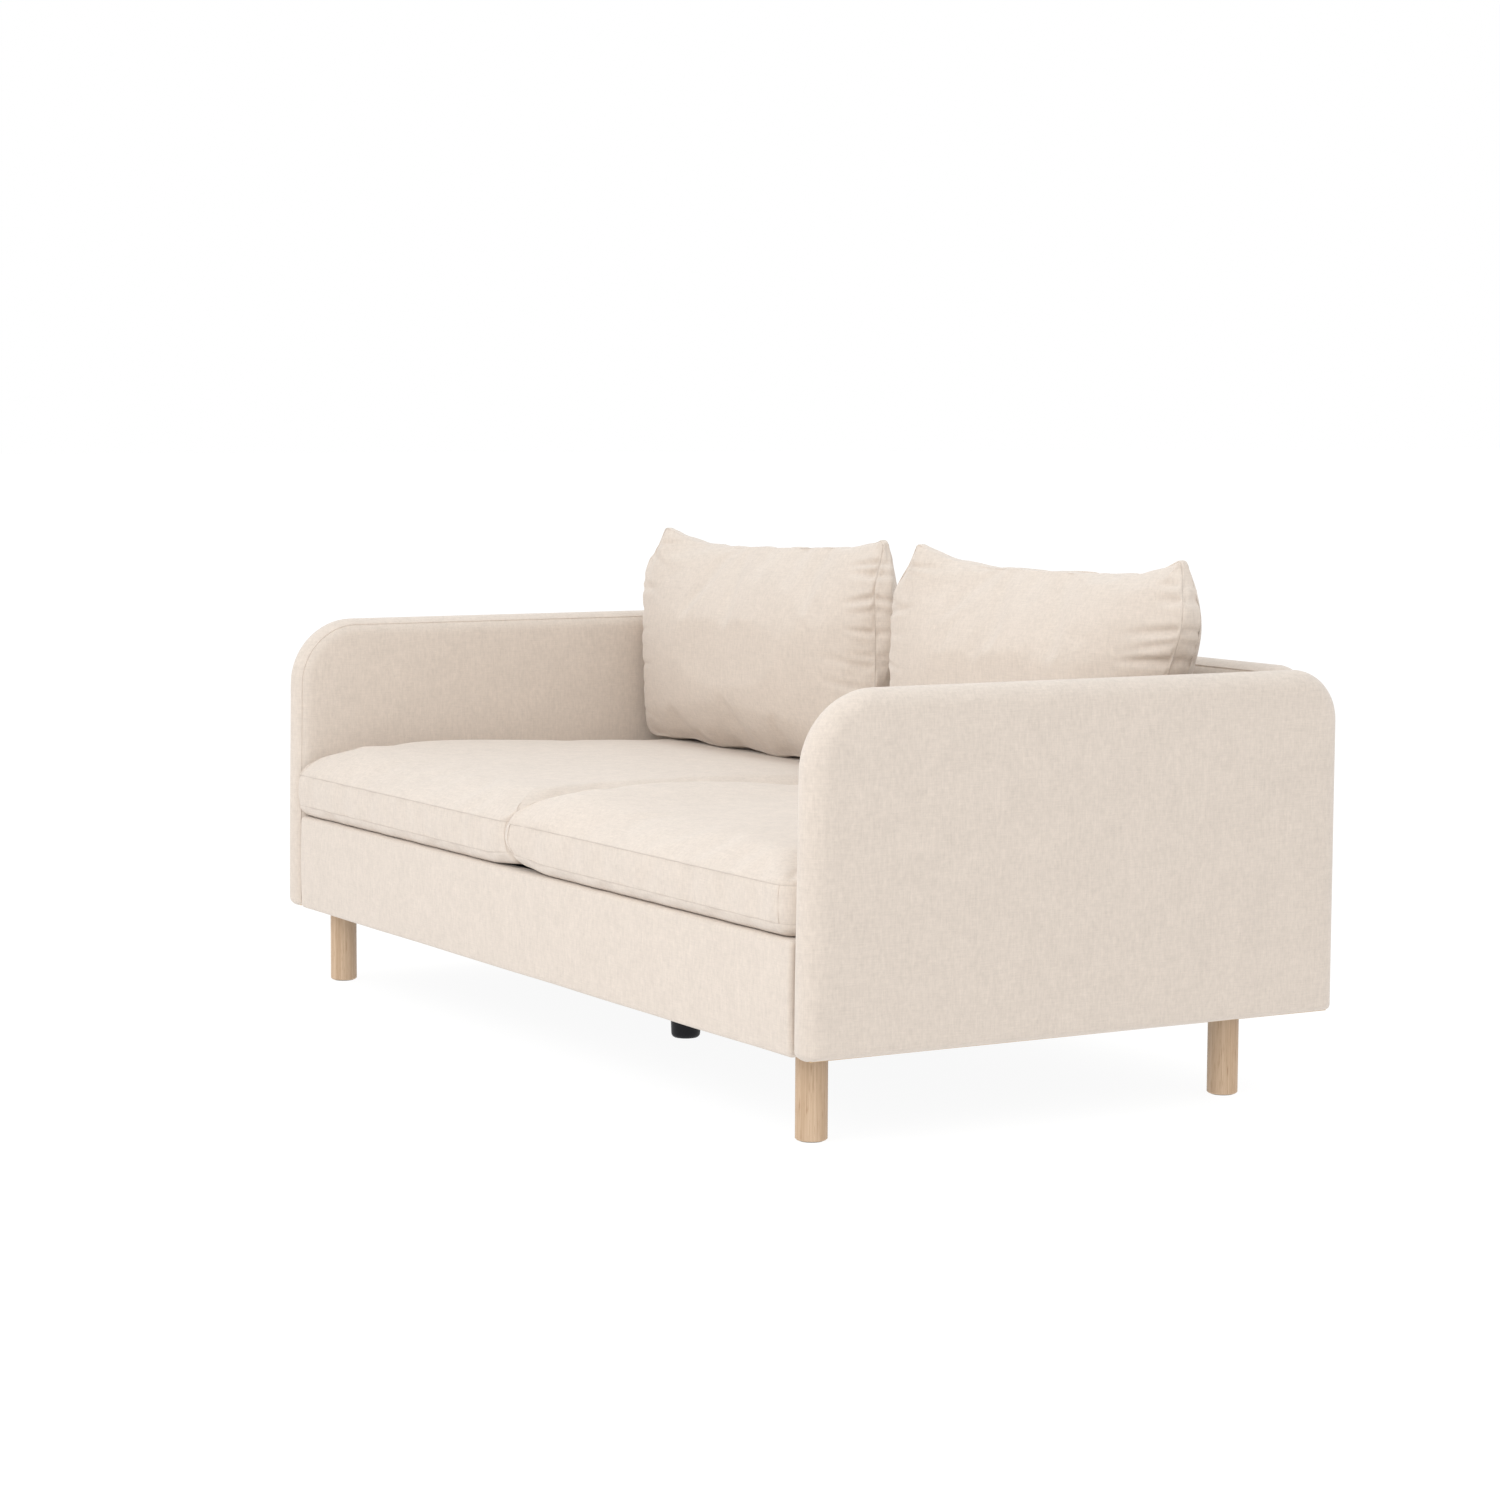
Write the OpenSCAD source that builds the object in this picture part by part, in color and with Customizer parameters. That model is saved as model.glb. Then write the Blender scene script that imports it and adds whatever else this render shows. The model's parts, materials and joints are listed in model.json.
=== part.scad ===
// Two-seat sofa: thin padded arms and back around a sprung seat box, loose cushions, round wooden legs.
// Millimetres. +X is to the right seen from the front, +Y is to the rear, +Z is up.
// The origin is on the floor under the middle of the sofa.

/* [Overall] */
// Width over both arms
sofa_w = 1780; // [1500:10:2200]
// Depth from the arm fronts to the rear of the back
sofa_d = 900; // [860:10:1000]
// Height of the arm and back tops above the floor
arm_top = 625; // [600:5:700]
// Height of the body's underside above the floor
leg_h = 125; // [90:5:160]

/* [Arms and back] */
// Thickness of each arm
arm_t = 56; // [52:1:80]
// Thickness of the back
back_t = 56; // [52:1:80]
// Radius of the arms' two upper corners, seen from the side
arm_r = 110; // [60:5:140]
// Radius of the back's two upper corners, seen from behind
back_r = 100; // [60:5:140]
// Thickness of the timber frames inside the arms and the back
frame_t = 30; // [24:1:32]
// Width of the rails and posts of those frames
frame_rail = 60; // [45:5:80]
// Thickness of the upholstery fabric
skin_t = 1.5; // [1:0.5:2]
// Thickness of the foam strip round the frame edges
edge_foam = 10; // [6:1:14]

/* [Seat] */
// Height of the seat box, from underside to deck
box_h = 160; // [150:5:190]
// How far the seat box front stands behind the arm fronts
front_recess = 6; // [0:1:20]
// Thickness of the rails of the seat box
rail_t = 25; // [18:1:30]
// Thickness of the seat cushions at their edges
seat_cushion_h = 110; // [90:5:130]
// Corner radius of the seat cushions, seen from above
seat_cushion_r = 30; // [15:5:60]
// Number of zigzag springs under each seat cushion
springs_per_seat = 4; // [2:1:5]
// Diameter of the spring wire
wire_d = 3.8; // [3:0.2:4.4]

/* [Back cushions] */
// Width of each back cushion
pillow_w = 768; // [500:2:780]
// Height of the back cushions' upper corners above the floor
pillow_top = 785; // [740:5:820]
// Half the distance between the two back cushions' middles
pillow_spread = 416; // [400:1:420]
// How far the pair of back cushions sits to the right of the sofa's middle
pillow_shift = 5; // [-10:5:10]

/* [Legs] */
// Diameter of the wooden legs
leg_d = 45; // [38:1:60]
// Distance from the sofa's side to each leg's axis
leg_inset_x = 101; // [96:1:140]
// Distance from the sofa's front to the front legs' axes
leg_inset_front = 67; // [66:1:120]
// Distance from the sofa's rear to the rear legs' axes
leg_inset_rear = 130; // [120:1:200]
// Distance from the middle of the sofa forward to the support foot
foot_forward = 140; // [0:5:200]

/* [Hidden] */
$fn = 48;

LEFT = -1;
RIGHT = 1;

body_h = arm_top - leg_h;             // height of the arms and the back
bay_w = sofa_w - 2 * arm_t;           // clear width between the arms
arm_in = bay_w / 2;                   // x of the right arm's inner face
back_front = sofa_d / 2 - back_t;     // y of the back's front face
box_front = front_recess - sofa_d / 2; // y of the seat box's front face
deck_z = leg_h + box_h;               // top of the seat box
foam_t = (arm_t - frame_t) / 2 - skin_t; // foam sheet on each side of an arm frame
back_foam_t = (back_t - frame_t) / 2 - skin_t;
web_t = 1.5;                          // webbing strap thickness
web_w = 60;

plate_t = 2.5;
plate_w = 70;
screw_offset = 22;                    // plate screws, from the leg's axis
screw_d = 4;
screw_l = 18;
leg_top_z = leg_h + skin_t;
plate_top_z = leg_top_z + plate_t;
rail_z = plate_top_z;                 // underside of the rails
rail_top = deck_z - 15;
side_gap = 0.5;                       // between the seat box and an arm
box_half = arm_in - side_gap;
front_foam_t = 10;
rail_front_y = box_front + skin_t + front_foam_t;
rail_rear_y = back_front - 1;         // rear face of the rear rail
rails_from = rail_front_y + rail_t;   // y of the front rail's rear face
rails_to = rail_rear_y - rail_t;      // y of the rear rail's front face
middle_rail_h = 105;

bolt_d = 8;
bolt_hole_d = 9;
bolt_head_d = 18;
bolt_head_h = 5;
nut_barrel_d = 10;
nut_barrel_l = 12;
nut_flange_d = 22;
nut_flange_t = 1.5;
nut_bore_d = 8.2;
bolt_play = 0.2;
frame_in = arm_in + skin_t + foam_t;  // x of the arm frame's inner face
frame_out = frame_in + frame_t;
seat_bolts = [for (y = [-250, 250]) [y, leg_h + 85]];       // y, z, through the seat's side rails
back_bolts = [for (z = [150, 380]) [back_front + back_t / 2, leg_h + z]]; // through the back frame's end posts

leg_x = sofa_w / 2 - leg_inset_x;
leg_front_y = leg_inset_front - sofa_d / 2;
leg_rear_y = sofa_d / 2 - leg_inset_rear;
leg_places = [for (x = [-leg_x, leg_x]) for (y = [leg_front_y, leg_rear_y]) [x, y]];
glide_d = 34;
glide_t = 3;
glide_show = 1.5;                     // how far a glide stands out under its leg
leg_chamfer = 2;
stud_hole_deep = 32;
block_h = 40;
block_w = 68;

foot_top_r = 28;
foot_base_r = 23;
foot_round = 7;

spring_amp = 16;                      // half the straight part of each spring bar
spring_pitch = 40;                    // distance between neighbouring bars
spring_z = rail_top + 1.2;
clip_size = [24, 14, 6.4];
clip_slot = 5.2;
pad_z = rail_top + 7;
pad_t = 4;
deck_t = 2.5;

cushion_gap = 1;                      // clearance round each seat cushion
cushion_z = deck_z + 0.5;
cushion_front = -sofa_d / 2 + 2;
cushion_rear = back_front - 2;
cushion_w = bay_w / 2 - 2 * cushion_gap;
pillow_z = cushion_z + seat_cushion_h + 2.5;

fabric = [0.88, 0.83, 0.77];
pale_wood = [0.82, 0.68, 0.54];
pine = [0.85, 0.73, 0.52];
foam = [0.95, 0.92, 0.80];
steel = [0.70, 0.71, 0.73];
black = [0.06, 0.06, 0.07];
felt = [0.45, 0.44, 0.42];

// ---- shared shapes ----

// Draws children for the right side, or mirrored for the left side
module on_side(side) {
    if (side == LEFT) mirror([1, 0, 0]) children();
    else children();
}

// Upright rectangle with its two upper corners rounded; its sides and top move in by inset, its base by foot
module arched(w, h, r, inset, foot) {
    translate([inset - w / 2, foot]) square([w - 2 * inset, h - r - foot]);
    translate([r - w / 2, foot]) square([w - 2 * r, h - inset - foot]);
    for (s = [-1, 1]) translate([s * (w / 2 - r), h - r]) circle(r = r - inset, $fn = 96);
}

// Stands a side outline up as a slab that starts at x and is t thick
module slab_x(x, t) {
    translate([x, 0, leg_h]) rotate([90, 0, 90]) linear_extrude(t) children();
}

// Stands a front outline up as a slab that ends at y and is t thick
module slab_y(y, t) {
    translate([0, y, leg_h]) rotate([90, 0, 0]) linear_extrude(t) children();
}

module arm_outline(inset, foot) { arched(sofa_d, body_h, arm_r, inset, foot); }
module back_outline(inset, foot) { arched(bay_w, body_h, back_r, inset, foot); }

// Rod along X from x0 to x1
module rod_x(x0, x1, d) {
    translate([x0, 0, 0]) rotate([0, 90, 0]) cylinder(h = x1 - x0, d = d);
}

// Puts children on every bolt axis of a right arm
module at_arm_bolts(places) {
    for (p = places) translate([0, p[0], p[1]]) children();
}

module arm_bolt_holes() {
    at_arm_bolts(concat(seat_bolts, back_bolts)) rod_x(arm_in - 200, frame_out, bolt_hole_d);
}

// Rounded rectangle, centred
module soft_rect(w, d, r) {
    square([w - 2 * r, d], center = true);
    square([w, d - 2 * r], center = true);
    for (sx = [-1, 1]) for (sy = [-1, 1]) translate([sx * (w / 2 - r), sy * (d / 2 - r)]) circle(r = r);
}

module at_legs() {
    for (p = leg_places) translate([p[0], p[1], 0]) children();
}

module at_plate_screws() {
    for (sx = [-1, 1]) for (sy = [-1, 1]) translate([sx * screw_offset, sy * screw_offset, 0]) children();
}

// Clearance for the leg studs and the plate screws in the timber above the plates
module leg_fixing_holes() {
    at_legs() translate([0, 0, leg_top_z]) {
        cylinder(h = block_h + 20, d = bolt_d + 0.5);
        at_plate_screws() cylinder(h = screw_l + 1, d = screw_d + 0.1);
    }
}

// ---- arms ----

arm_window_top = body_h - edge_foam - skin_t - frame_rail;
arm_window_foot = 125;
arm_window_half = sofa_d / 2 - edge_foam - skin_t - frame_rail;

module arm_frame(side) {
    inset = skin_t + edge_foam;
    color(pine) on_side(side) difference() {
        slab_x(frame_in, frame_t) difference() {
            arm_outline(inset, skin_t);
            for (s = [-1, 1])
                translate([s == -1 ? -arm_window_half : frame_rail / 2, arm_window_foot])
                    square([arm_window_half - frame_rail / 2, arm_window_top - arm_window_foot]);
        }
        arm_bolt_holes();
        at_arm_bolts(concat(seat_bolts, back_bolts)) {
            rod_x(frame_out - nut_barrel_l - nut_flange_t, frame_out + 1, nut_barrel_d + bolt_play);
            rod_x(frame_out - nut_flange_t - 0.1, frame_out + 1, nut_flange_d + bolt_play);
        }
    }
}

module arm_foam(side, x, bored) {
    color(foam) on_side(side) difference() {
        slab_x(x, foam_t) arm_outline(skin_t, skin_t);
        if (bored) arm_bolt_holes();
    }
}

module arm_edge_foam(side) {
    color(foam) on_side(side) slab_x(frame_in, frame_t) difference() {
        arm_outline(skin_t, skin_t);
        arm_outline(skin_t + edge_foam, 0);
    }
}

module arm_cover(side) {
    color(fabric) on_side(side) difference() {
        slab_x(arm_in, arm_t) arm_outline(0, 0);
        slab_x(arm_in + skin_t, arm_t - 2 * skin_t) arm_outline(skin_t, skin_t);
        arm_bolt_holes();
    }
}

module bolt_x(x_head, x_end) {
    rod_x(x_head - bolt_head_h, x_head, bolt_head_d);
    rod_x(x_head - 0.01, x_end, bolt_d);
}

module arm_bolts(side) {
    color(steel) on_side(side) {
        at_arm_bolts(seat_bolts) bolt_x(box_half - rail_t, frame_out - 3);
        at_arm_bolts(back_bolts) bolt_x(arm_in - skin_t - edge_foam - frame_rail, frame_out - 3);
    }
}

module arm_tee_nuts(side) {
    color(steel) on_side(side) at_arm_bolts(concat(seat_bolts, back_bolts)) difference() {
        union() {
            rod_x(frame_out - nut_barrel_l - nut_flange_t, frame_out, nut_barrel_d);
            rod_x(frame_out - nut_flange_t, frame_out, nut_flange_d);
        }
        rod_x(frame_out - 30, frame_out + 1, nut_bore_d);
    }
}

// ---- back ----

back_bays = 3;
back_window_half = bay_w / 2 - skin_t - edge_foam - frame_rail;
back_window_w = (2 * back_window_half - (back_bays - 1) * frame_rail) / back_bays;

module back_frame() {
    color(pine) difference() {
        slab_y(back_front + skin_t + back_foam_t + frame_t, frame_t) difference() {
            back_outline(skin_t + edge_foam, skin_t);
            for (i = [0 : back_bays - 1])
                translate([i * (back_window_w + frame_rail) - back_window_half, arm_window_foot])
                    square([back_window_w, arm_window_top - arm_window_foot]);
        }
        for (s = [LEFT, RIGHT]) on_side(s) arm_bolt_holes();
    }
}

module back_webbing() {
    strap_rise = (arm_window_top - arm_window_foot) / 3;
    color(black) for (i = [0 : 2])
        translate([-bay_w / 2 + 30, back_front + skin_t + back_foam_t - web_t,
                   leg_h + arm_window_foot + (i + 0.5) * strap_rise - web_w / 2])
            cube([bay_w - 60, web_t, web_w]);
}

module back_foam_front() {
    color(foam) slab_y(back_front + skin_t + back_foam_t - web_t, back_foam_t - web_t) back_outline(skin_t, skin_t);
}

module back_foam_rear() {
    color(foam) slab_y(sofa_d / 2 - skin_t, back_foam_t) back_outline(skin_t, skin_t);
}

module back_edge_foam() {
    color(foam) difference() {
        slab_y(back_front + skin_t + back_foam_t + frame_t, frame_t) difference() {
            back_outline(skin_t, skin_t);
            back_outline(skin_t + edge_foam, 0);
        }
        for (s = [LEFT, RIGHT]) on_side(s) arm_bolt_holes();
    }
}

module back_cover() {
    color(fabric) difference() {
        slab_y(sofa_d / 2, back_t) back_outline(0, 0);
        slab_y(sofa_d / 2 - skin_t, back_t - 2 * skin_t) back_outline(skin_t, skin_t);
        for (s = [LEFT, RIGHT]) on_side(s) arm_bolt_holes();
    }
}

// ---- seat box ----

// Timber board from one corner to the other
module board(from, to) {
    translate(from) cube(to - from);
}

module seat_rail_front() {
    color(pine) board([-box_half, rail_front_y, rail_z], [box_half, rails_from, rail_top]);
}

module seat_rail_rear() {
    color(pine) board([-box_half, rails_to, rail_z], [box_half, rail_rear_y, rail_top]);
}

module seat_rail_side(side) {
    color(pine) difference() {
        on_side(side) difference() {
            board([box_half - rail_t, rails_from, rail_z], [box_half, rails_to, rail_top]);
            at_arm_bolts(seat_bolts) rod_x(box_half - rail_t - 1, box_half + 1, bolt_hole_d);
        }
        leg_fixing_holes();
    }
}

module seat_rail_middle() {
    color(pine) difference() {
        board([-rail_t / 2, rails_from, rail_z], [rail_t / 2, rails_to, rail_z + middle_rail_h]);
        translate([0, -foot_forward, rail_z - 1]) cylinder(h = 50, d = bolt_d + 0.5);
    }
}

module corner_blocks() {
    inner = box_half - rail_t;
    color(pine) difference() {
        for (s = [LEFT, RIGHT]) on_side(s) {
            board([inner - block_w, rails_from, rail_z], [inner, rails_from + block_w, rail_z + block_h]);
            board([inner - block_w, leg_rear_y - 40, rail_z], [inner, rails_to, rail_z + block_h]);
        }
        leg_fixing_holes();
        at_legs() translate([0, 0, rail_z + block_h - nut_barrel_l])
            cylinder(h = nut_barrel_l + 1, d = nut_barrel_d + bolt_play);
    }
}

// Centre line of a zigzag spring: straight bars joined by half-circle bends
function spring_bars() = floor((rails_to + rail_t / 2 - (rails_from - rail_t / 2)) / spring_pitch);
function spring_bend(i, a) =
    let (s = i % 2 == 0 ? 1 : -1, r = spring_pitch / 2)
    [s * (spring_amp + r * sin(a)), i * spring_pitch + r - r * cos(a)];
function spring_line() = concat(
    [[-spring_amp, 0]],
    [for (i = [0 : spring_bars() - 1]) for (a = [0 : 36 : 180]) spring_bend(i, a)],
    [[(spring_bars() % 2 == 0 ? 1 : -1) * spring_amp, spring_bars() * spring_pitch]]
);
function unit2(v) = v / norm(v);
function along(p, k) = unit2(p[min(k + 1, len(p) - 1)] - p[max(k - 1, 0)]);
function beside(p, k, d) = p[k] + d * [-along(p, k)[1], along(p, k)[0]];

module zigzag_spring() {
    line = spring_line();
    last = len(line) - 1;
    linear_extrude(wire_d) polygon(concat(
        [for (k = [0 : last]) beside(line, k, wire_d / 2)],
        [for (k = [0 : last]) beside(line, last - k, -wire_d / 2)]
    ));
}

module at_springs() {
    step = arm_in / springs_per_seat;
    for (s = [-1, 1]) for (i = [0 : springs_per_seat - 1])
        translate([s * (i + 0.5) * step, 0, 0]) children();
}

module seat_springs() {
    color(steel) at_springs() translate([0, rails_from - rail_t / 2, spring_z]) zigzag_spring();
}

module spring_clip() {
    difference() {
        translate([-clip_size[0] / 2, -clip_size[1] / 2, 0]) cube(clip_size);
        translate([-clip_size[0], -clip_slot / 2, 0.9]) cube([2 * clip_size[0], clip_slot, wire_d + 0.8]);
    }
}

module spring_clips() {
    rear_bar = rails_from - rail_t / 2 + spring_bars() * spring_pitch;
    color(steel) at_springs() for (y = [rails_from - rail_t / 2, rear_bar])
        translate([0, y, rail_top]) spring_clip();
}

module insulator_pad() {
    color(felt) board([-box_half, rail_front_y, pad_z], [box_half, rail_rear_y, pad_z + pad_t]);
}

module seat_deck() {
    color(black) board([-box_half, rail_front_y, pad_z + pad_t], [box_half, rail_rear_y, pad_z + pad_t + deck_t]);
}

module front_foam() {
    color(foam) board([-box_half, box_front + skin_t, leg_top_z], [box_half, rail_front_y, deck_z - skin_t]);
}

module front_cover() {
    color(fabric) {
        board([-box_half, box_front, leg_h], [box_half, box_front + skin_t, deck_z]);
        board([-box_half, box_front + skin_t - 0.01, deck_z - skin_t], [box_half, rails_from, deck_z]);
        board([-box_half, box_front + skin_t - 0.01, leg_h], [box_half, rails_from - 2, leg_top_z]);
    }
}

module dust_cover() {
    color(black) difference() {
        board([-box_half, rails_from - 2, leg_h], [box_half, rail_rear_y, leg_h + 1]);
        at_legs() translate([0, 0, leg_h - 1]) cylinder(h = 3, d = leg_d + 1);
        translate([0, -foot_forward, leg_h - 1]) cylinder(h = 3, r = foot_top_r + 0.5);
    }
}

// ---- legs ----

module leg_front_left() { leg([-leg_x, leg_front_y]); }
module leg_front_right() { leg([leg_x, leg_front_y]); }
module leg_rear_left() { leg([-leg_x, leg_rear_y]); }
module leg_rear_right() { leg([leg_x, leg_rear_y]); }

module leg(p) {
    color(pale_wood) translate([p[0], p[1], 0]) difference() {
        union() {
            translate([0, 0, glide_show]) cylinder(h = leg_chamfer, d1 = leg_d - 2 * leg_chamfer, d2 = leg_d);
            translate([0, 0, glide_show + leg_chamfer]) cylinder(h = leg_top_z - glide_show - leg_chamfer, d = leg_d);
        }
        translate([0, 0, glide_show - 1]) cylinder(h = glide_t - glide_show + 1, d = glide_d + bolt_play);
        translate([0, 0, leg_top_z - stud_hole_deep]) cylinder(h = stud_hole_deep + 1, d = bolt_d + bolt_play);
    }
}

module leg_glides() {
    color(felt) at_legs() cylinder(h = glide_t, d = glide_d);
}

module leg_studs() {
    color(steel) at_legs() translate([0, 0, leg_top_z - stud_hole_deep + 1])
        cylinder(h = stud_hole_deep + plate_t + block_h - 3, d = bolt_d);
}

module fixing_plate() {
    difference() {
        translate([-plate_w / 2, -plate_w / 2, 0]) cube([plate_w, plate_w, plate_t]);
        translate([0, 0, -1]) cylinder(h = plate_t + 2, d = bolt_d + 0.5);
        at_plate_screws() translate([0, 0, -1]) cylinder(h = plate_t + 2, d = screw_d + 0.5);
    }
}

module leg_plates() {
    color(steel) at_legs() translate([0, 0, leg_top_z]) fixing_plate();
}

// The heads sit flush in the plates, so the screws are drawn as plain pins
module leg_plate_screws() {
    color(steel) at_legs() at_plate_screws() translate([0, 0, leg_top_z]) cylinder(h = screw_l, d = screw_d);
}

module leg_tee_nuts() {
    color(steel) at_legs() translate([0, 0, rail_z + block_h - nut_barrel_l]) difference() {
        union() {
            cylinder(h = nut_barrel_l, d = nut_barrel_d);
            translate([0, 0, nut_barrel_l]) cylinder(h = nut_flange_t, d = nut_flange_d);
        }
        translate([0, 0, -1]) cylinder(h = nut_barrel_l + nut_flange_t + 2, d = nut_bore_d);
    }
}

module support_foot() {
    color(black) translate([0, -foot_forward, 0]) difference() {
        rotate_extrude($fn = 64) polygon(concat(
            [[0, 0]],
            [for (a = [0 : 22.5 : 90])
                [foot_base_r - foot_round * (1 - sin(a)), foot_round * (1 - cos(a))]],
            [[foot_top_r, leg_top_z], [0, leg_top_z]]
        ));
        translate([0, 0, leg_top_z - stud_hole_deep]) cylinder(h = stud_hole_deep + 1, d = bolt_d + bolt_play);
    }
}

module support_foot_stud() {
    color(steel) translate([0, -foot_forward, leg_top_z - stud_hole_deep + 1])
        cylinder(h = stud_hole_deep + plate_t + 30, d = bolt_d);
}

module support_foot_plate() {
    color(steel) translate([0, -foot_forward, leg_top_z]) fixing_plate();
}

// ---- seat cushions ----

module seat_block(side, inset) {
    mid_y = (cushion_front + cushion_rear) / 2;
    translate([side * bay_w / 4, mid_y, cushion_z + inset])
        linear_extrude(seat_cushion_h - 2 * inset)
            soft_rect(cushion_w - 2 * inset, cushion_rear - cushion_front - 2 * inset, seat_cushion_r - inset);
}

module seat_cushion_cover(side) {
    color(fabric) difference() {
        seat_block(side, 0);
        seat_block(side, skin_t);
    }
}

module seat_cushion_core(side) {
    color(foam) seat_block(side, skin_t + 0.2);
}

zip_w = 12;
zip_t = 1.2;
zip_pull = [6, 0.5, 22];

module seat_cushion_zip(side) {
    x = side * bay_w / 4;
    z = cushion_z + seat_cushion_h / 2;
    color(felt) {
        board([x - 300, cushion_rear, z - zip_w / 2], [x + 300, cushion_rear + zip_t, z + zip_w / 2]);
        translate([x - 290, cushion_rear + zip_t - 0.01, z - 16]) cube(zip_pull);
    }
}

// ---- back cushions ----

pillow_foot_front = 205;   // y of the lower front edge
pillow_foot_rear = 372;    // y of the lower rear edge
pillow_peak = 265;         // y of the upper edge's middle
pillow_tip = 6;            // half the thickness of the upper edge
pillow_belly = 45;         // how far the front face bulges
pillow_rump = 58;          // how far the rear face bulges
PILLOW_STEPS = 14;

function pillow_mid(side) = side * pillow_spread + pillow_shift;
function lerp(a, b, t) = a + (b - a) * t;
function pillow_face_z(inset, t) = lerp(pillow_z + inset, pillow_top - 3 * inset, t);
function pillow_front_y(inset, t) =
    lerp(pillow_foot_front, pillow_peak - pillow_tip, t) - pillow_belly * sin(180 * t) + inset;
function pillow_rear_y(inset, t) =
    lerp(pillow_foot_rear, pillow_peak + pillow_tip, t) + pillow_rump * sin(180 * t) - inset;

// Side outline of a back cushion: a plump lens that leans back
module pillow_outline(inset) {
    polygon(concat(
        [for (i = [0 : PILLOW_STEPS])
            let (t = i / PILLOW_STEPS) [pillow_front_y(inset, t), pillow_face_z(inset, t)]],
        [for (i = [0 : PILLOW_STEPS])
            let (t = 1 - i / PILLOW_STEPS) [pillow_rear_y(inset, t), pillow_face_z(inset, t)]]
    ));
}

module pillow(side, inset) {
    translate([pillow_mid(side) - pillow_w / 2 + inset, 0, 0]) rotate([90, 0, 90])
        linear_extrude(pillow_w - 2 * inset) pillow_outline(inset);
}

module back_cushion_cover(side) {
    color(fabric) difference() {
        pillow(side, 0);
        pillow(side, skin_t);
    }
}

module back_cushion_fill(side) {
    color(foam) pillow(side, skin_t + 0.3);
}

module back_cushion_zip(side) {
    x = pillow_mid(side);
    y = (pillow_foot_front + pillow_foot_rear) / 2;
    color(felt) {
        board([x - 260, y, pillow_z - zip_t], [x + 260, y + zip_w, pillow_z]);
        board([x - 250, y - 12, pillow_z - zip_t], [x - 244, y + 0.01, pillow_z]);
    }
}

// ---- the assembly ----

arm_frame(LEFT);  // arm_frame_left
arm_frame(RIGHT);  // arm_frame_right
arm_foam(LEFT, arm_in + skin_t, true);  // arm_foam_inner_left
arm_foam(RIGHT, arm_in + skin_t, true);  // arm_foam_inner_right
arm_foam(LEFT, frame_out, false);  // arm_foam_outer_left
arm_foam(RIGHT, frame_out, false);  // arm_foam_outer_right
arm_edge_foam(LEFT);  // arm_edge_foam_left
arm_edge_foam(RIGHT);  // arm_edge_foam_right
arm_cover(LEFT);  // arm_cover_left
arm_cover(RIGHT);  // arm_cover_right
arm_bolts(LEFT);  // arm_bolts_left
arm_bolts(RIGHT);  // arm_bolts_right
arm_tee_nuts(LEFT);  // arm_tee_nuts_left
arm_tee_nuts(RIGHT);  // arm_tee_nuts_right
back_frame();
back_webbing();
back_foam_front();
back_foam_rear();
back_edge_foam();
back_cover();
seat_rail_front();
seat_rail_rear();
seat_rail_side(LEFT);  // seat_rail_left
seat_rail_side(RIGHT);  // seat_rail_right
seat_rail_middle();
corner_blocks();
seat_springs();
spring_clips();
insulator_pad();
seat_deck();
front_foam();
front_cover();
dust_cover();
leg_front_left();
leg_front_right();
leg_rear_left();
leg_rear_right();
leg_glides();
leg_studs();
leg_plates();
leg_plate_screws();
leg_tee_nuts();
support_foot();
support_foot_stud();
support_foot_plate();
seat_cushion_cover(LEFT);  // seat_cushion_cover_left
seat_cushion_core(LEFT);  // seat_cushion_core_left
seat_cushion_zip(LEFT);  // seat_cushion_zip_left
seat_cushion_cover(RIGHT);  // seat_cushion_cover_right
seat_cushion_core(RIGHT);  // seat_cushion_core_right
seat_cushion_zip(RIGHT);  // seat_cushion_zip_right
back_cushion_cover(LEFT);  // back_cushion_cover_left
back_cushion_fill(LEFT);  // back_cushion_fill_left
back_cushion_zip(LEFT);  // back_cushion_zip_left
back_cushion_cover(RIGHT);  // back_cushion_cover_right
back_cushion_fill(RIGHT);  // back_cushion_fill_right
back_cushion_zip(RIGHT);  // back_cushion_zip_right
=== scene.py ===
"""Looks of the two-seat sofa: upholstered shell, soft cushions, timber legs, studio light and camera.

Every length is in metres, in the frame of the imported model: +X right, +Y rear, +Z up.
Padded pieces are closed forms of rings and grids, and take their places from the boxes of the
CAD nodes that they stand for. The loose cushions get their fullness from a short cloth simulation.
"""

import bisect
import json
import math
import random

import bpy
from mathutils import Matrix, Vector, noise


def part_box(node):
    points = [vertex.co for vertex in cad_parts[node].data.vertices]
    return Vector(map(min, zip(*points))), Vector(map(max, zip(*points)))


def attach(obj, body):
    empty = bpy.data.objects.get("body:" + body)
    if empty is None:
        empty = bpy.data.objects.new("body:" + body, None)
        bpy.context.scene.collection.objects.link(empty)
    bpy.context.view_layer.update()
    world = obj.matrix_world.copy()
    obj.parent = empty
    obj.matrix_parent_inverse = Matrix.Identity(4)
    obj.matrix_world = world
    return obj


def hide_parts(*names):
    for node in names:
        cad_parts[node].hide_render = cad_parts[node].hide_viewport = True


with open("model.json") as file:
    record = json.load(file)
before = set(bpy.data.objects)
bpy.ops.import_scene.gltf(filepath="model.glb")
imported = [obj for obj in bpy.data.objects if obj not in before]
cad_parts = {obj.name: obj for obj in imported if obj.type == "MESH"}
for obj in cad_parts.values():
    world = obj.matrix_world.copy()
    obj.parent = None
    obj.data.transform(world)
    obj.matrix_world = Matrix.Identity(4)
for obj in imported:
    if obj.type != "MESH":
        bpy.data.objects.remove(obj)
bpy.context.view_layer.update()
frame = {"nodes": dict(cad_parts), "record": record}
SIDES = {"left": -1, "right": 1}
MM = 0.001
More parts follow.
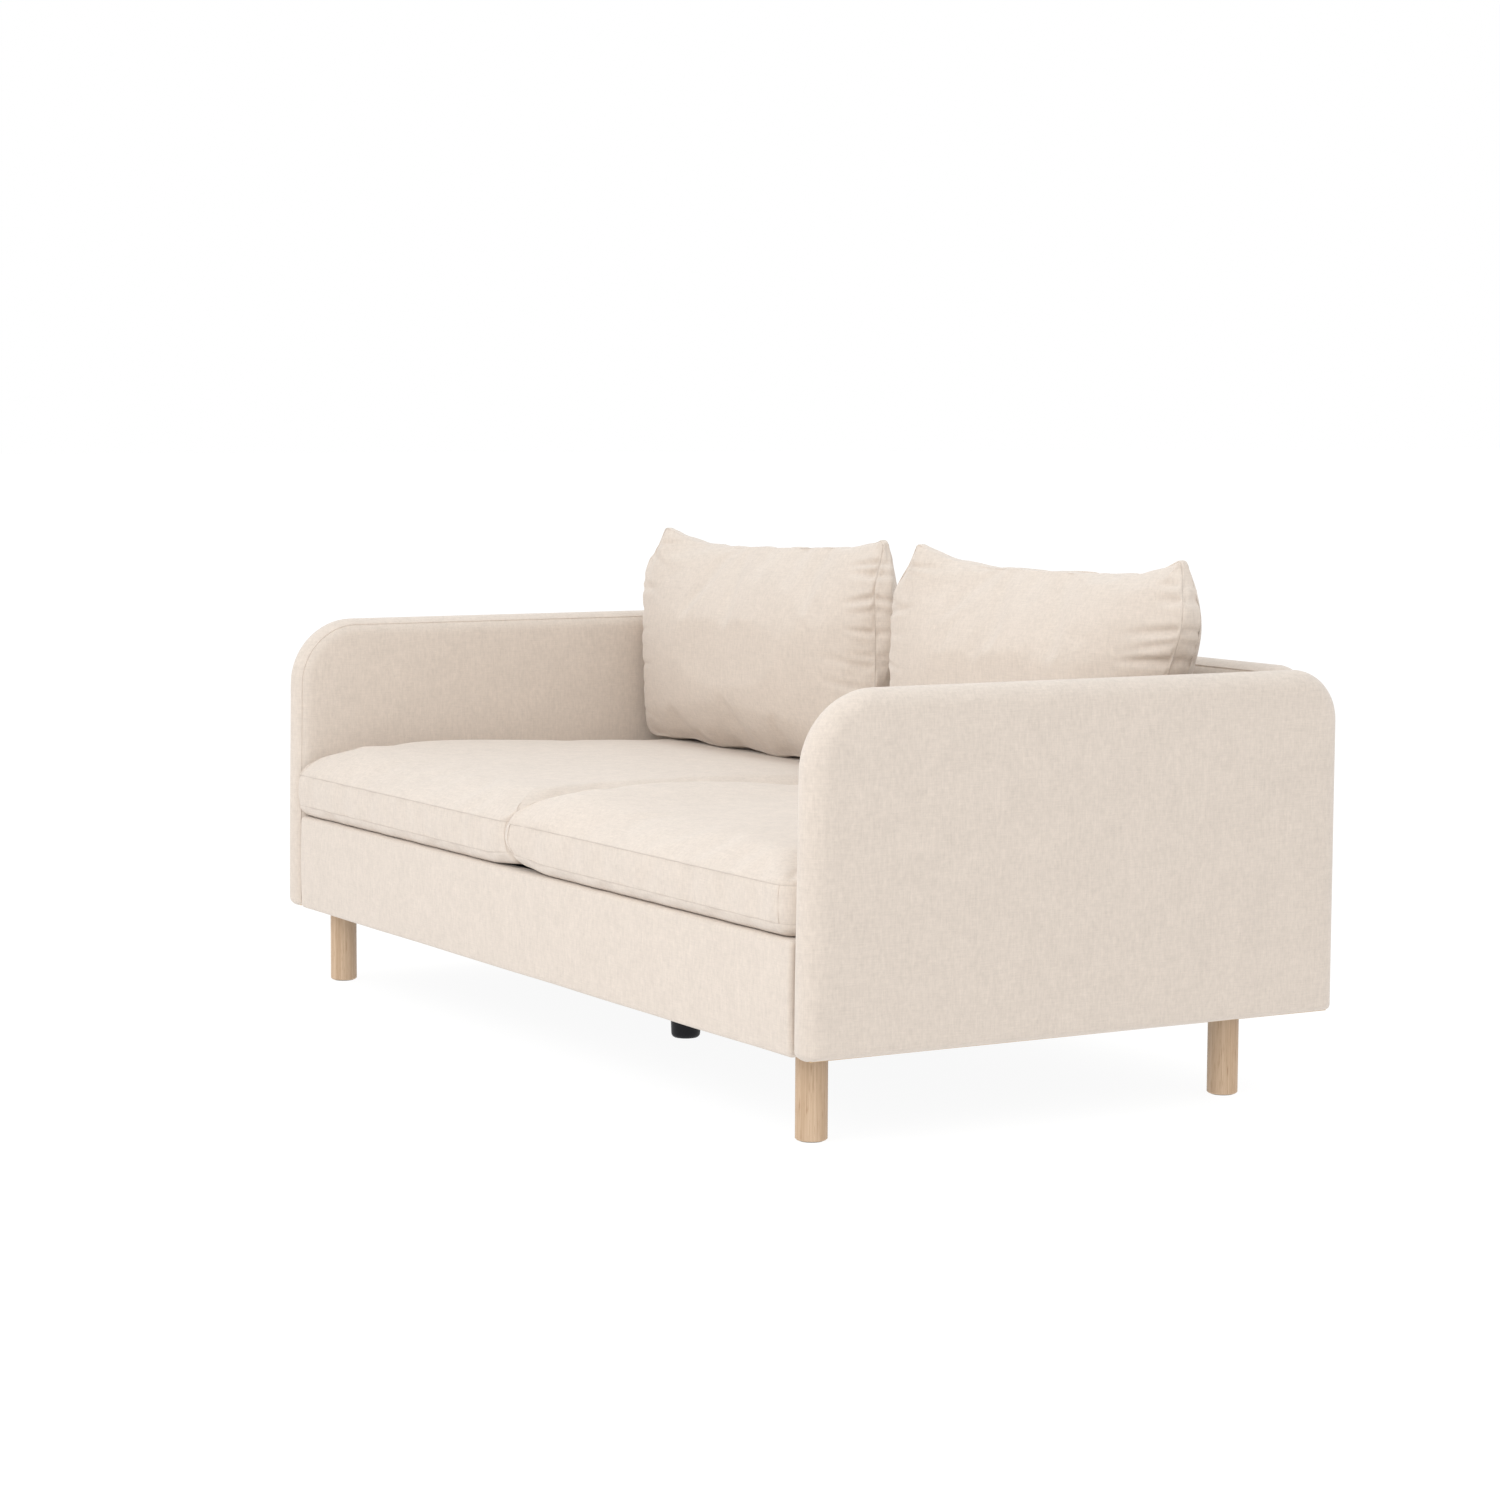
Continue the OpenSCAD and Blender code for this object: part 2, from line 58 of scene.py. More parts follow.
X, Y, Z = range(3)


# ---- small helpers ----


def lerp(a, b, t):
    return a + (b - a) * t


def smooth(t):
    """0 below 0, 1 above 1, and an easy curve between."""
    t = min(max(t, 0.0), 1.0)
    return t * t * (3 - 2 * t)


def size_of(node):
    """Lowest corner, highest corner and size of a CAD node."""
    low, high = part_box(node)
    return low, high, high - low


def add_mesh(name, points, faces, material):
    mesh = bpy.data.meshes.new(name)
    mesh.from_pydata(points, [], faces)
    mesh.materials.append(material)
    mesh.update()
    mesh.shade_smooth()
    piece = bpy.data.objects.new(name, mesh)
    bpy.context.scene.collection.objects.link(piece)
    return piece


def apply_modifier(piece, modifier):
    bpy.ops.object.select_all(action="DESELECT")
    bpy.context.view_layer.objects.active = piece
    piece.select_set(True)
    bpy.ops.object.modifier_apply(modifier=modifier.name)


def subdivide(piece, levels=1):
    modifier = piece.modifiers.new("finer", "SUBSURF")
    modifier.levels = levels
    modifier.render_levels = levels
    apply_modifier(piece, modifier)
    piece.data.shade_smooth()


def wander(point, scale, seed):
    """Smooth noise from -1 to 1 that changes over the given length."""
    return noise.noise(Vector(point) / scale + Vector((seed, 2 * seed, 3 * seed)))


# ---- closed forms made of rings round a rounded rectangle ----


def arc_point(corner, angle):
    (a, b), radius, _ = corner
    turn = math.radians(angle)
    return (a + radius * math.cos(turn), b + radius * math.sin(turn))


def outline(size, radii, inset, foot_inset, cells, bend):
    """One ring: a rounded rectangle moved in by inset, its lower side by foot_inset.

    radii are those of the lower left, lower right, upper right and upper left corner. The ring
    starts at the middle of the lower left corner and has one point for each border point of a
    grid of cells, with bend cells on each half corner.
    """
    width, height = size
    left, right = inset - width / 2, width / 2 - inset
    low, high = foot_inset, height - inset
    turns = [max(r - inset, 2 * MM) for r in radii]
    ends = [(left, low), (right, low), (right, high), (left, high)]
    inwards = [(1, 1), (-1, 1), (-1, -1), (1, -1)]
    corners = [
        ((end[0] + way[0] * r, end[1] + way[1] * r), r, 180 + 90 * k)
        for k, (end, way, r) in enumerate(zip(ends, inwards, turns))
    ]
    points = []
    for side in range(4):
        start, end = corners[side], corners[(side + 1) % 4]
        count = cells[side % 2]
        heading = start[2] + 90
        first, last = arc_point(start, heading), arc_point(end, heading)
        for j in range(count):
            if j < bend:
                points.append(arc_point(start, heading - 45 * (1 - j / bend)))
            elif j <= count - bend:
                t = (j - bend) / (count - 2 * bend)
                points.append((lerp(first[0], last[0], t), lerp(first[1], last[1], t)))
            else:
                points.append(arc_point(end, heading + 45 * (j - count + bend) / bend))
    return points


def grid_border(cells):
    """Grid places round the border, in the order of an outline's points."""
    across, up = cells
    return (
        [(i, 0) for i in range(across)]
        + [(across, j) for j in range(up)]
        + [(across - i, up) for i in range(across)]
        + [(0, up - j) for j in range(up)]
    )


class Form:
    """A closed form: edge rings, then a flat of rings and a grid on each of its two faces."""

    def __init__(self, size, radii, profile, cells, flat_inset, foot_share=1.0, bend=6, blend_rings=6):
        self.size, self.cells = size, cells
        self.points, self.faces, self.rings = [], [], []
        for inset, level in profile:
            ring = outline(size, radii, inset, inset * foot_share, cells, bend)
            self.rings.append(self.add_ring(ring, level))
        for lower, upper in zip(self.rings, self.rings[1:]):
            self.join(lower, upper)
        flat_foot = flat_inset * max(foot_share, 0.5)
        for face, (inset, level) in ((0, profile[0]), (-1, profile[-1])):
            edge = outline(size, radii, inset, inset * foot_share, cells, bend)
            self.close(edge, self.rings[face], level, flat_inset, flat_foot, blend_rings, face == 0)

    def add_ring(self, ring, level):
        start = len(self.points)
        self.points += [(a, b, level) for a, b in ring]
        return list(range(start, len(self.points)))

    def join(self, lower, upper, flip=False):
        count = len(lower)
        for i in range(count):
            k = (i + 1) % count
            quad = (lower[i], lower[k], upper[k], upper[i])
            self.faces.append(quad[::-1] if flip else quad)

    def close(self, edge, ring, level, inset, foot, blend_rings, flip):
        """Rings from an edge ring inwards to a rectangle, and the grid inside it."""
        across, up = self.cells
        width, height = self.size

        def grid_point(i, j):
            return (
                lerp(inset - width / 2, width / 2 - inset, i / across),
                lerp(foot, height - inset, j / up),
            )

        inner = [grid_point(i, j) for i, j in grid_border(self.cells)]
        for step in range(1, blend_rings + 1):
            t = step / blend_rings
            mixed = [(lerp(e[0], g[0], t), lerp(e[1], g[1], t)) for e, g in zip(edge, inner)]
            following = self.add_ring(mixed, level)
            self.join(ring, following, flip)
            ring = following
        place = dict(zip(grid_border(self.cells), ring))
        for i in range(1, across):
            for j in range(1, up):
                place[(i, j)] = len(self.points)
                self.points.append((*grid_point(i, j), level))
        for i in range(across):
            for j in range(up):
                quad = (place[(i, j)], place[(i + 1, j)], place[(i + 1, j + 1)], place[(i, j + 1)])
                self.faces.append(quad[::-1] if flip else quad)

    def build(self, name, place, material):
        """The piece, with place turning each (across, up, level) into a point of the frame."""
        return add_mesh(name, [place(*p) for p in self.points], self.faces, material)


def round_edge(radius, steps):
    """Profile of a full round edge, from one face over the edge to the other: (inset, level)."""
    turns = [math.radians(lerp(-90, 90, k / steps)) for k in range(steps + 1)]
    return [(radius * (1 - math.cos(t)), radius * math.sin(t)) for t in turns]


# ---- materials ----


class Look:
    """A procedural material under construction: a Principled shader and what feeds it."""

    def __init__(self, name, roughness, metallic=0.0):
        self.material = bpy.data.materials.new(name)
        self.material.use_nodes = True
        self.tree = self.material.node_tree
        self.shader = self.tree.nodes["Principled BSDF"]
        self.shader.inputs["Roughness"].default_value = roughness
        self.shader.inputs["Metallic"].default_value = metallic
        self.coordinates = self.add("ShaderNodeTexCoord").outputs["Object"]

    def add(self, kind, **inputs):
        node = self.tree.nodes.new(kind)
        for name, value in inputs.items():
            node.inputs[name].default_value = value
        return node

    def link(self, output, target):
        self.tree.links.new(output, target)

    def grain(self, scale, detail=4.0, roughness=0.6, distortion=0.0):
        """Noise whose features are about 1/scale metres along each axis."""
        mapping = self.add("ShaderNodeMapping", Scale=scale)
        self.link(self.coordinates, mapping.inputs["Vector"])
        shape = {"Scale": 1.0, "Detail": detail, "Roughness": roughness, "Distortion": distortion}
        field = self.add("ShaderNodeTexNoise", **shape)
        self.link(mapping.outputs["Vector"], field.inputs["Vector"])
        return field.outputs["Fac"]

    def blend(self, a, b, share):
        """Mix of two values."""
        node = self.add("ShaderNodeMix")
        node.inputs["Factor"].default_value = share
        self.link(a, node.inputs["A"])
        self.link(b, node.inputs["B"])
        return node.outputs["Result"]

    def ramp(self, value, stops):
        """Colours along a value, as (position, colour) stops."""
        node = self.add("ShaderNodeValToRGB")
        self.link(value, node.inputs["Fac"])
        elements = node.color_ramp.elements
        for k, (position, colour) in enumerate(stops):
            element = elements[k] if k < 2 else elements.new(position)
            element.position = position
            element.color = (*colour, 1.0)
        return node.outputs["Color"]

    def multiply(self, a, b):
        """Product of two colours."""
        node = self.add("ShaderNodeVectorMath")
        node.operation = "MULTIPLY"
        self.link(a, node.inputs[0])
        self.link(b, node.inputs[1])
        return node.outputs["Vector"]

    def paint(self, colour):
        self.link(colour, self.shader.inputs["Base Color"])

    def bump(self, height, strength, distance):
        node = self.add("ShaderNodeBump", Strength=strength, Distance=distance)
        self.link(height, node.inputs["Height"])
        self.link(node.outputs["Normal"], self.shader.inputs["Normal"])

    def vary_roughness(self, value, low, high):
        node = self.add("ShaderNodeMapRange")
        node.inputs["To Min"].default_value = low
        node.inputs["To Max"].default_value = high
        self.link(value, node.inputs["Value"])
        self.link(node.outputs["Result"], self.shader.inputs["Roughness"])


def tint(colour, factor):
    return tuple(min(c * factor, 1.0) for c in colour)


def woven(name, colour, contrast=0.125, mottle=0.045, thread=0.0016, sheen=0.25):
    """Plain woven cloth: threads both ways, small slubs and a soft mottle."""
    look = Look(name, roughness=0.92)
    fine, long = 1 / thread, 1 / (thread * 14)
    warp = look.grain((fine, fine, long), detail=2.0)
    weft = look.grain((long, long, fine), detail=2.0)
    threads = look.blend(warp, weft, 0.5)
    slubs = look.grain((1 / (thread * 3.5), 1 / (thread * 3.5), 1 / (thread * 6)), detail=3.0)
    cloud = look.grain((18.0, 18.0, 18.0), detail=5.0, roughness=0.65)
    shades = [(0.3, tint(colour, 1 - contrast)), (0.7, tint(colour, 1 + contrast))]
    near = look.ramp(look.blend(threads, slubs, 0.4), shades)
    far = look.ramp(cloud, [(0.3, (1 - mottle,) * 3), (0.7, (1.0,) * 3)])
    look.paint(look.multiply(near, far))
    look.bump(look.blend(threads, slubs, 0.3), strength=0.35, distance=0.5 * MM)
    look.vary_roughness(slubs, 0.86, 0.97)
    look.shader.inputs["Sheen Weight"].default_value = sheen
    look.shader.inputs["Sheen Roughness"].default_value = 0.6
    look.shader.inputs["Specular IOR Level"].default_value = 0.25
    return look.material


def timber(name, pale, dark, grain=1.0, roughness=0.5):
    """Wood with the grain along Z: broad figure, fine streaks and dark pores."""
    look = Look(name, roughness)
    figure = look.grain((60 * grain, 60 * grain, 2.2 * grain), detail=5.0, distortion=0.8)
    streaks = look.grain((420 * grain, 420 * grain, 6 * grain), detail=3.0)
    pores = look.grain((900 * grain, 900 * grain, 35 * grain), detail=2.0)
    body = look.ramp(look.blend(figure, streaks, 0.45), [(0.32, dark), (0.68, pale)])
    marks = look.ramp(pores, [(0.30, (0.72, 0.64, 0.56)), (0.42, (1.0, 1.0, 1.0))])
    look.paint(look.multiply(body, marks))
    look.bump(look.blend(streaks, pores, 0.5), strength=0.25, distance=0.3 * MM)
    look.vary_roughness(streaks, roughness - 0.08, roughness + 0.12)
    return look.material


def brushed(name, colour, roughness=0.34):
    """Bright steel with fine marks along its length."""
    look = Look(name, roughness, metallic=1.0)
    marks = look.grain((80.0, 80.0, 900.0), detail=3.0)
    look.paint(look.ramp(marks, [(0.3, tint(colour, 0.88)), (0.7, tint(colour, 1.05))]))
    look.bump(marks, strength=0.08, distance=0.1 * MM)
    look.vary_roughness(marks, roughness - 0.08, roughness + 0.1)
    return look.material


def porous(name, colour, cell, roughness=0.95):
    """Foam, felt or fibre: a fine open grain."""
    look = Look(name, roughness)
    cells = look.grain((1 / cell,) * 3, detail=4.0, roughness=0.75)
    patches = look.grain((9.0,) * 3, detail=3.0)
    grainy = look.ramp(cells, [(0.35, tint(colour, 0.86)), (0.65, tint(colour, 1.03))])
    soft = look.ramp(patches, [(0.3, (0.95, 0.94, 0.92)), (0.7, (1.0, 1.0, 1.0))])
    look.paint(look.multiply(grainy, soft))
    look.bump(cells, strength=0.5, distance=0.6 * MM)
    look.shader.inputs["Sheen Weight"].default_value = 0.1
    return look.material


def moulded(name, colour, roughness=0.42, specular=0.5):
    """Moulded plastic with a faint texture."""
    look = Look(name, roughness)
    skin = look.grain((1400.0,) * 3, detail=2.0)
    haze = look.grain((25.0,) * 3, detail=3.0)
    look.paint(look.ramp(haze, [(0.3, tint(colour, 0.9)), (0.7, tint(colour, 1.15))]))
    look.bump(skin, strength=0.1, distance=0.1 * MM)
    look.vary_roughness(haze, roughness - 0.05, roughness + 0.1)
    look.shader.inputs["Specular IOR Level"].default_value = specular
    return look.material


BEIGE = (0.668, 0.585, 0.510)
LOOKS = {
    "upholstery": woven("upholstery", BEIGE),
    "pale_wood": timber("pale_wood", pale=(0.66, 0.49, 0.34), dark=(0.43, 0.285, 0.17)),
    "timber": timber("timber", pale=(0.72, 0.53, 0.31), dark=(0.55, 0.36, 0.18), grain=0.5, roughness=0.62),
    "foam": porous("foam", (0.86, 0.80, 0.60), cell=1.6 * MM),
    "fibre_fill": porous("fibre_fill", (0.88, 0.88, 0.86), cell=4 * MM),
    "felt": porous("felt", (0.17, 0.16, 0.15), cell=0.9 * MM),
    "black_cloth": woven("black_cloth", (0.022, 0.022, 0.024), contrast=0.25, sheen=0.05),
    "webbing": woven("webbing", (0.03, 0.03, 0.032), contrast=0.3, thread=0.0018, sheen=0.05),
    "steel": brushed("steel", (0.62, 0.62, 0.63)),
    "black_plastic": moulded("black_plastic", (0.006, 0.006, 0.008), specular=0.25),
    "zip": moulded("zip", (0.52, 0.44, 0.36)),
}
THREAD = woven("thread", tint(BEIGE, 0.86), contrast=0.1, thread=0.0006)


def dress_cad_nodes():
    """Gives every CAD node the look of its material slot in the record."""
    for entry in frame["record"]["subparts"]:
        node = frame["nodes"][entry["node"]]
        node.data.materials.clear()
        node.data.materials.append(LOOKS[entry["material_slot"]])


# ---- arms, back and seat front ----


def swell(share_across, share_up):
    """1 in the middle of a face and 0 at its border, with shares from -1 to 1."""
    return (1 - share_across**2) * (1 - share_up**2)


SLAB_FOOT = 0.42  # how much of its round edge a padded slab keeps along its foot
SLAB_BEND = 8  # cells on half a corner of a padded slab
EDGE_STEPS = 16  # steps over the round edge of a padded slab
# Corner radii: lower left, lower right, upper right, upper left. An arm's left is its front.
ARM_RADII = (16 * MM, 16 * MM, 74 * MM, 112 * MM)
BACK_RADII = (10 * MM, 10 * MM, 62 * MM, 62 * MM)


def build_arm(name, sign):
    """One arm: a thin padded slab with full round edges, whose front leans back a little."""
    low, high, size = size_of(f"arm_cover_{name}")
    half = size.x / 2
    middle = (low.x + high.x) / 2
    form = Form(
        (size.y, size.z), ARM_RADII, round_edge(half, EDGE_STEPS),
        cells=(64, 34), flat_inset=112 * MM, foot_share=SLAB_FOOT, bend=SLAB_BEND,
    )
    puff, lean_back = 5 * MM, 5 * MM
    uneven, foot_wave, foot_height = 0.8 * MM, 1.2 * MM, 60 * MM

    def place(along, up, level):
        share_up = 2 * up / size.z - 1
        thick = level * (1 + puff / half * swell(2 * along / size.y, share_up))
        thick += uneven * wander((along, up, level), 0.16, seed=3 + sign) * level / half
        settle = foot_wave * wander((along, 0.0, 0.0), 0.3, seed=7) * smooth(1 - up / foot_height)
        lean = lean_back * smooth(up / size.z) * smooth(-2 * along / size.y)
        return (middle + thick, along + lean + (low.y + high.y) / 2, low.z + up + settle)

    arm = form.build(f"arm_upholstery_{name}", place, LOOKS["upholstery"])
    return arm, form, place, half


def seam_path(form, place, radii, half, turn):
    """Points of a sewn line round a padded slab's edge, turned by degrees from the edge's middle."""
    lean = math.radians(turn)
    inset, level = half * (1 - math.cos(lean)), half * math.sin(lean)
    ring = outline(form.size, radii, inset, inset * SLAB_FOOT, form.cells, SLAB_BEND)
    across, _ = form.cells
    used = ring[across:] + ring[:1]
    return [Vector(place(a, b, level)) for a, b in used]


def tube(name, path, radius, material, sides=8, closed=False):
    """A round cord of sewn cloth along a path."""
    points, faces = [], []
    count = len(path)
    for k, p in enumerate(path):
        ahead = path[(k + 1) % count] if closed else path[min(k + 1, count - 1)]
        behind = path[k - 1] if closed or k else path[0]
        along = (ahead - behind).normalized()
        side = along.cross(Vector((0.31, 0.52, 0.79))).normalized()
        other = along.cross(side)
        for j in range(sides):
            turn = 2 * math.pi * j / sides
            points.append(p + radius * (math.cos(turn) * side + math.sin(turn) * other))
    spans = count if closed else count - 1
    for k in range(spans):
        start, end = k * sides, ((k + 1) % count) * sides
        for j in range(sides):
            n = (j + 1) % sides
            faces.append((start + j, start + n, end + n, end + j))
    if not closed:
        faces.append(tuple(reversed(range(sides))))
        faces.append(tuple(range((count - 1) * sides, count * sides)))
    return add_mesh(name, points, faces, material)


def upholster_arm(name, sign):
    """One padded arm, with the sewn line near the edge of its inner face."""
    arm, form, place, half = build_arm(name, sign)
    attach(arm, "frame")
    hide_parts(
        f"arm_cover_{name}", f"arm_foam_inner_{name}", f"arm_foam_outer_{name}", f"arm_edge_foam_{name}"
    )
    path = seam_path(form, place, ARM_RADII, half, turn=-48 * sign)
    welt = tube(f"arm_seam_{name}", path, 1.2 * MM, LOOKS["upholstery"])
    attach(welt, "frame")


def upholster_back():
    """The back: a padded slab between the arms, with a sewn line on both sides of its round edge."""
    low, high, size = size_of("back_cover")
    half = size.y / 2
    middle = (low.y + high.y) / 2
    form = Form(
        (size.x, size.z), BACK_RADII, round_edge(half, EDGE_STEPS),
        cells=(110, 34), flat_inset=104 * MM, foot_share=SLAB_FOOT, bend=SLAB_BEND,
    )
    puff, uneven = 4 * MM, 0.8 * MM

    def place(across, up, level):
        thick = level * (1 + puff / half * swell(2 * across / size.x, 2 * up / size.z - 1))
        thick += uneven * wander((across, up, level), 0.18, seed=11) * level / half
        return (across, middle - thick, low.z + up)

    back = form.build("back_upholstery", place, LOOKS["upholstery"])
    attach(back, "frame")
    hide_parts("back_cover", "back_foam_front", "back_foam_rear", "back_edge_foam")
    for tag, turn in (("front", 50), ("rear", -50)):
        path = seam_path(form, place, BACK_RADII, half, turn)
        welt = tube(f"back_seam_{tag}", path, 1.5 * MM, LOOKS["upholstery"])
        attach(welt, "frame")


def upholster_front():
    """The seat front: one smooth panel, wrapped over the rail's top and under its foot."""
    low, high, size = size_of("front_cover")
    half = size.y / 2
    middle = (low.y + high.y) / 2
    edge, crown, uneven, foot_wave, foot_height = 7 * MM, 2 * MM, 0.7 * MM, 1.0 * MM, 40 * MM
    bend = [math.radians(15 * k) for k in range(7)]
    rear = [(edge * (1 - math.sin(t)), -half + edge * (1 - math.cos(t))) for t in bend]
    profile = rear + [(inset, -level) for inset, level in reversed(rear)]
    form = Form(
        (size.x, size.z), (edge,) * 4, profile,
        cells=(110, 12), flat_inset=30 * MM, bend=3, blend_rings=3,
    )

    def place(across, up, level):
        share = 2 * up / size.z - 1
        front = level / half * crown * (1 - share**2) if level > 0 else 0.0
        ripple = uneven * wander((across, up, 0.0), 0.2, seed=21) * max(level, 0) / half
        drop = foot_wave * wander((across, 0.0, 0.0), 0.22, seed=23) * smooth(1 - up / foot_height)
        return (across, middle - level - front - ripple, low.z + up + drop)

    panel = form.build("front_upholstery", place, LOOKS["upholstery"])
    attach(panel, "frame")
    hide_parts("front_cover", "front_foam")


# ---- cushions ----


def puff_up(piece, held, pressure, growth, cap, frames=20):
    """Fills a cover by cloth simulation. Held points stay, and no point moves further than cap."""
    rest = [v.co.copy() for v in piece.data.vertices]
    group = piece.vertex_groups.new(name="held")
    group.add(held, 1.0, "REPLACE")
    cloth = piece.modifiers.new("cloth", "CLOTH")
    settings = cloth.settings
    settings.quality = 6
    settings.mass = 0.3
    settings.tension_stiffness = 20
    settings.compression_stiffness = 20
    settings.shear_stiffness = 8
    settings.bending_stiffness = 0.6
    settings.use_pressure = True
    settings.uniform_pressure_force = pressure
    settings.shrink_min = -growth
    settings.vertex_group_mass = "held"
    settings.pin_stiffness = 1.0
    settings.effector_weights.gravity = 0.0
    cloth.collision_settings.use_collision = False
    cloth.point_cache.frame_start = 1
    cloth.point_cache.frame_end = frames
    scene = bpy.context.scene
    for step in range(1, frames + 1):
        scene.frame_set(step)
    apply_modifier(piece, cloth)
    scene.frame_set(1)
    for vertex, start in zip(piece.data.vertices, rest):
        moved = vertex.co - start
        if moved.length > cap:
            vertex.co = start + moved * (cap / moved.length)


SEAT_ROLL = 75 * MM  # width of the rounded border of a seat cushion's top
SEAT_SEAMS = (0.17, 0.64)  # heights of the two sewn edges, as shares of the cushion's
SEAT_TOP = 0.90  # height at which the crown starts, as a share of the cushion's
SEAT_PLUMPNESS = 1.02  # height of a soft seat cushion, in heights of its CAD cover
SEAT_CORD = 0.8 * MM
CORNER_CORD = 0.7 * MM
CORNER_STEPS = (-3, 4)  # border points from a corner to the upright cords beside it


def seat_profile(height):
    """Edge of a box cushion from its underside, over the lower and upper seams, to its top."""
    lower, upper = (share * height for share in SEAT_SEAMS)
    beside, groove, shoulder, roll_start, seam_half = 2.5 * MM, 3.6 * MM, 2.2 * MM, 1.5 * MM, 2 * MM
    steps = 8
    foot = [(0.32, 0.0), (0.20, 0.008), (0.12, 0.05), (0.06, 0.105)]
    below = [(SEAT_ROLL * a, height * b) for a, b in foot]
    band = []
    for k in range(1, steps):
        t = k / steps
        inset = beside * (1 - math.sin(math.pi * t))
        band.append((inset, lerp(lower + seam_half, upper - seam_half, t)))
    above = []
    for k in range(1, steps + 1):
        turn = math.pi / 2 * k / steps
        inset = SEAT_ROLL * (1 - math.cos(turn)) + roll_start
        above.append((inset, lerp(upper + seam_half, SEAT_TOP * height, math.sin(turn))))
    lower_seam = [(beside, lower - seam_half), (groove, lower), (beside, lower + seam_half)]
    upper_seam = [(beside, upper - seam_half), (groove, upper), (shoulder, upper + seam_half)]
    profile = below + lower_seam + band + upper_seam + above
    seams = (len(below) + 1, len(below) + len(lower_seam) + len(band) + 1)
    return profile, seams


# For each seat cushion: radius of its front corner at the arm, how far that corner swells in
# front of the arm's round edge, how far its nose swells towards the other cushion, and the
# rise of its crown, of its shoulder along the arm and of its shoulder at the other cushion.
SEAT_SHAPES = {
    "left": {
        "corner": 12 * MM, "overhang": 10 * MM, "nose": -25 * MM,
        "crown": 15 * MM, "shoulder": 14 * MM, "inner_shoulder": 5 * MM,
    },
    "right": {
        "corner": 46 * MM, "overhang": 0.0, "nose": 30 * MM,
        "crown": 10 * MM, "shoulder": 0.0, "inner_shoulder": 20 * MM,
    },
}


def build_seat_cushion(name, sign, corner, overhang, nose, crown, shoulder, inner_shoulder):
    """A box cushion: crowned top, sewn edges, and a rounded nose towards the other cushion."""
    low, high, size = size_of(f"seat_cushion_cover_{name}")
    height = size.z * SEAT_PLUMPNESS
    profile, seams = seat_profile(height)
    nose_radius, rear_radius = 22 * MM, 36 * MM
    front_radii = (corner, nose_radius) if sign < 0 else (nose_radius, corner)
    radii = (*front_radii, rear_radius, rear_radius)
    form = Form((size.x, size.y), radii, profile, cells=(44, 44), flat_inset=125 * MM, bend=5)
    centre_x = (low.x + high.x) / 2
    corner_lift, uneven, creasing = 8 * MM, 1.2 * MM, 1.6 * MM

    def place(across, deep, level):
        u, v = 2 * across / size.x, 2 * deep / size.y - 1
        top = smooth((level / height - SEAT_SEAMS[1]) / (SEAT_TOP - SEAT_SEAMS[1]))
        pressed = 1 - 0.75 * smooth((v - 0.3) / 0.35)
        held_up = shoulder * smooth((u * sign - 0.2) / 0.7)
        held_up += inner_shoulder * smooth((-u * sign - 0.3) / 0.6)
        held_up *= 1 - smooth((v + 0.5) / 0.9)
        rise = top * (crown * (1 - abs(u) ** 3) * (1 - v**2) * pressed + held_up)
        front = smooth((-v - 0.80) / 0.2)
        inner = smooth((-u * sign - 0.75) / 0.25)
        outer = smooth((u * sign - 0.90) / 0.10)
        full = math.sin(math.pi * min(level / height, 1.0))
        swelling = nose * full * smooth((-v - 0.88) / 0.12) * smooth((-u * sign - 0.86) / 0.14)
        lift = corner_lift * front * inner * smooth(1 - level / (0.6 * height))
        swell_out = sign * overhang * outer * smooth((-v - 0.93) / 0.07)
        wave = uneven * wander((across, deep, level), 0.13, seed=31 + sign)
        pucker = creasing * wander((across, deep, level), 0.018, seed=5)
        pucker = pucker * (inner + outer) * front * top * (1 - top)
        return (
            centre_x + across - sign * swelling + swell_out,
            low.y + deep - 0.25 * swelling + 0.4 * wave * front + 3 * pucker,
            low.z + level + rise + lift + top * wave + 4 * pucker,
        )

    cushion = form.build(f"seat_cushion_{name}", place, LOOKS["upholstery"])
    underside = 0.03 * height
    held = [index for seam in seams for index in form.rings[seam]]
    held += [index for index, (_, _, level) in enumerate(form.points) if level <= underside]
    puff_up(cushion, held, pressure=2.2, growth=0.008, cap=9 * MM)
    return cushion, form, seams


def keep_between(piece, low, high, axis, behind=-1.0):
    """Flattens a soft piece, from behind rearwards, against what stands on either side of it."""
    for vertex in piece.data.vertices:
        if vertex.co.y > behind:
            vertex.co[axis] = min(max(vertex.co[axis], low), high)


def stitched_seam(name, piece, indices, radius, material, closed=False):
    """A cord of sewn cloth that follows some points of a cushion, in order."""
    path = [piece.data.vertices[i].co.copy() for i in indices]
    return tube(name, path, radius, material, sides=6, closed=closed)


